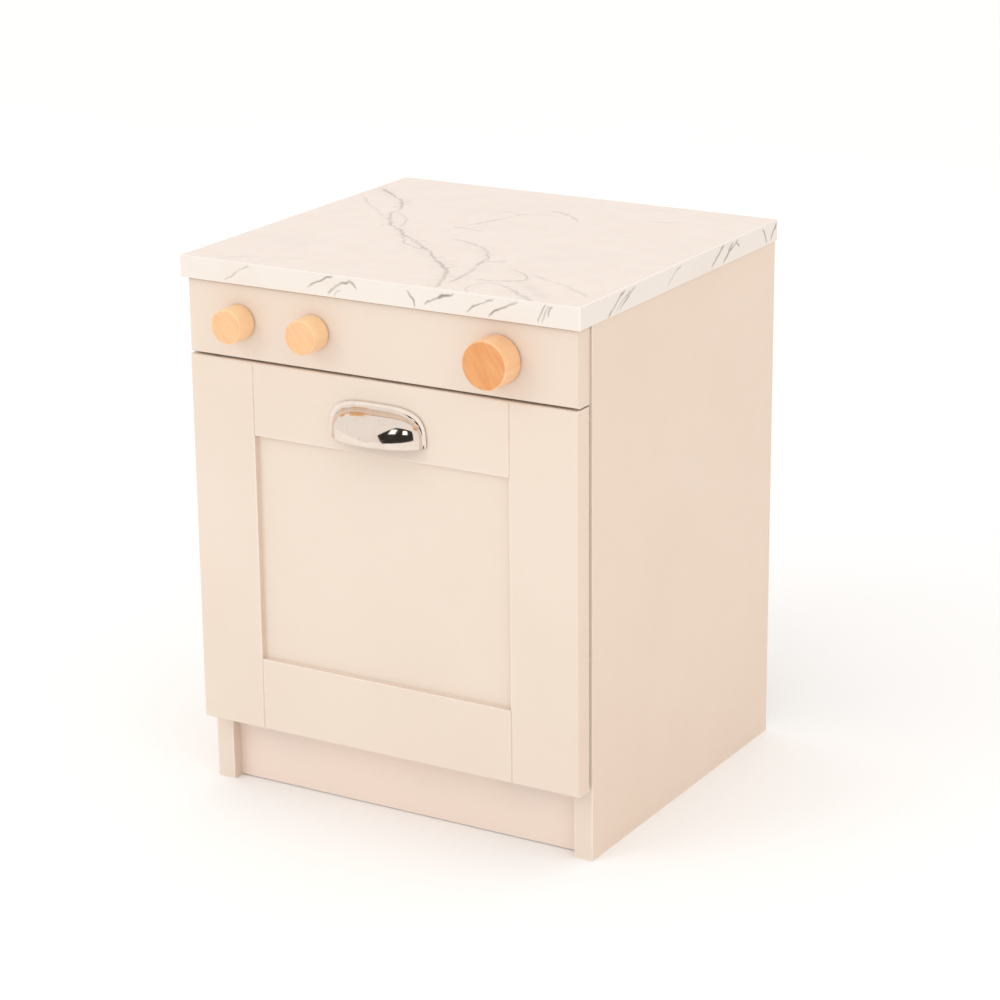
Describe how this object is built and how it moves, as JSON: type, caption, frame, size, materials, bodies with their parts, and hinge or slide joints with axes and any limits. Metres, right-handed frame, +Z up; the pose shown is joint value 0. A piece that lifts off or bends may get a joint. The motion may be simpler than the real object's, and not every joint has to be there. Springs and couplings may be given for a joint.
{
  "type": "toy kitchen oven unit",
  "caption": "Toy kitchen cabinet with a marble-print worktop, a fascia with turning wooden knobs and a framed drop-down oven door with a chrome cup handle.",
  "frame": {"origin": "centre of the bounding box's bottom face, on the floor under the cabinet", "axes": "+X to the right of someone facing the door, +Y from the door to the back, +Z up; the knobs and handle point along -Y"},
  "size_m": [0.404, 0.396, 0.506],
  "materials": {
    "carcass_board": "board lacquered cream, satin",
    "back_board": "thin board, cream on the inside",
    "shelf_board": "board lacquered cream, satin",
    "fascia_board": "board lacquered cream, satin",
    "door_frame_board": "board lacquered cream, satin",
    "door_panel_board": "board lacquered cream, satin",
    "worktop_chipboard": "raw chipboard",
    "marble_laminate": "white marble-print laminate, satin",
    "marble_edging": "white marble-print edging, satin",
    "beech_knob": "turned beech, matt lacquer",
    "beech_fixing": "raw beech",
    "chrome_handle": "polished",
    "zinc_steel": "zinc plated",
    "white_plastic": "moulded",
    "ferrite_magnet": "sintered ferrite, dull"
  },
  "bodies": {
    "carcass": {"side_panel_left": "carcass_board", "side_panel_right": "carcass_board", "base_panel": "carcass_board", "back_panel": "back_board", "top_rail_front": "carcass_board", "top_rail_back": "carcass_board", "door_head_rail": "carcass_board", "plinth_board": "carcass_board", "worktop_core": "worktop_chipboard", "worktop_laminate": "marble_laminate", "worktop_edge_front": "marble_edging", "worktop_edge_left": "marble_edging", "worktop_edge_right": "marble_edging", "control_fascia": "fascia_board", "fascia_block_left": "beech_fixing", "fascia_block_right": "beech_fixing", "hinge_base_leaf_left": "zinc_steel", "hinge_base_leaf_right": "zinc_steel", "hinge_pins": "zinc_steel", "hinge_base_screws": "zinc_steel", "catch_housing": "white_plastic", "catch_magnet": "ferrite_magnet", "catch_screws": "zinc_steel", "oven_shelf": "shelf_board", "shelf_pins": "zinc_steel", "cam_locks": "zinc_steel", "cam_bolts": "zinc_steel", "dowels": "beech_fixing", "worktop_screws": "zinc_steel", "fascia_screws": "zinc_steel", "block_screws": "zinc_steel", "stay_studs": "zinc_steel", "knob_washers": "white_plastic", "spindle_washers": "zinc_steel"},
    "door": {"door_stile_left": "door_frame_board", "door_stile_right": "door_frame_board", "door_rail_top": "door_frame_board", "door_rail_bottom": "door_frame_board", "door_panel": "door_panel_board", "cup_handle": "chrome_handle", "handle_screws": "zinc_steel", "hinge_door_leaf_left": "zinc_steel", "hinge_door_leaf_right": "zinc_steel", "hinge_door_screws": "zinc_steel", "catch_strike_plate": "zinc_steel", "strike_screw": "zinc_steel", "door_bumpers": "white_plastic", "stay_brackets": "zinc_steel", "stay_pins": "zinc_steel", "stay_bracket_screws": "zinc_steel"},
    "stay_left": {"stay_arm_left": "zinc_steel"},
    "stay_right": {"stay_arm_right": "zinc_steel"},
    "knob_left_turning": {"knob_left": "beech_knob", "spindle_left": "zinc_steel"},
    "knob_middle_turning": {"knob_middle": "beech_knob", "spindle_middle": "zinc_steel"},
    "knob_right_turning": {"knob_right": "beech_knob", "spindle_right": "zinc_steel"}
  },
  "joints": [
    {"name": "door_hinge", "type": "hinge", "parent": "carcass", "child": "door", "pos_m": [0, -0.153, 0.065], "axis": [1, 0, 0], "range_deg": [0, 90]},
    {"name": "stay_pivot_left", "type": "hinge", "parent": "door", "child": "stay_left", "pos_m": [-0.1755, -0.142, 0.2146], "axis": [1, 0, 0], "range_deg": [-45, 0]},
    {"name": "stay_pivot_right", "type": "hinge", "parent": "door", "child": "stay_right", "pos_m": [0.1755, -0.142, 0.2146], "axis": [1, 0, 0], "range_deg": [-45, 0]},
    {"name": "knob_left_turn", "type": "hinge", "parent": "carcass", "child": "knob_left_turning", "pos_m": [-0.143, -0.172, 0.451], "axis": [0, -1, 0], "continuous": true},
    {"name": "knob_middle_turn", "type": "hinge", "parent": "carcass", "child": "knob_middle_turning", "pos_m": [-0.065, -0.172, 0.451], "axis": [0, -1, 0], "continuous": true},
    {"name": "knob_right_turn", "type": "hinge", "parent": "carcass", "child": "knob_right_turning", "pos_m": [0.1215, -0.172, 0.451], "axis": [0, -1, 0], "continuous": true}
  ],
  "couplings": [
    {"joint": "stay_pivot_left", "follows": "door_hinge", "ratio": -0.5},
    {"joint": "stay_pivot_right", "follows": "door_hinge", "ratio": -0.5}
  ]
}
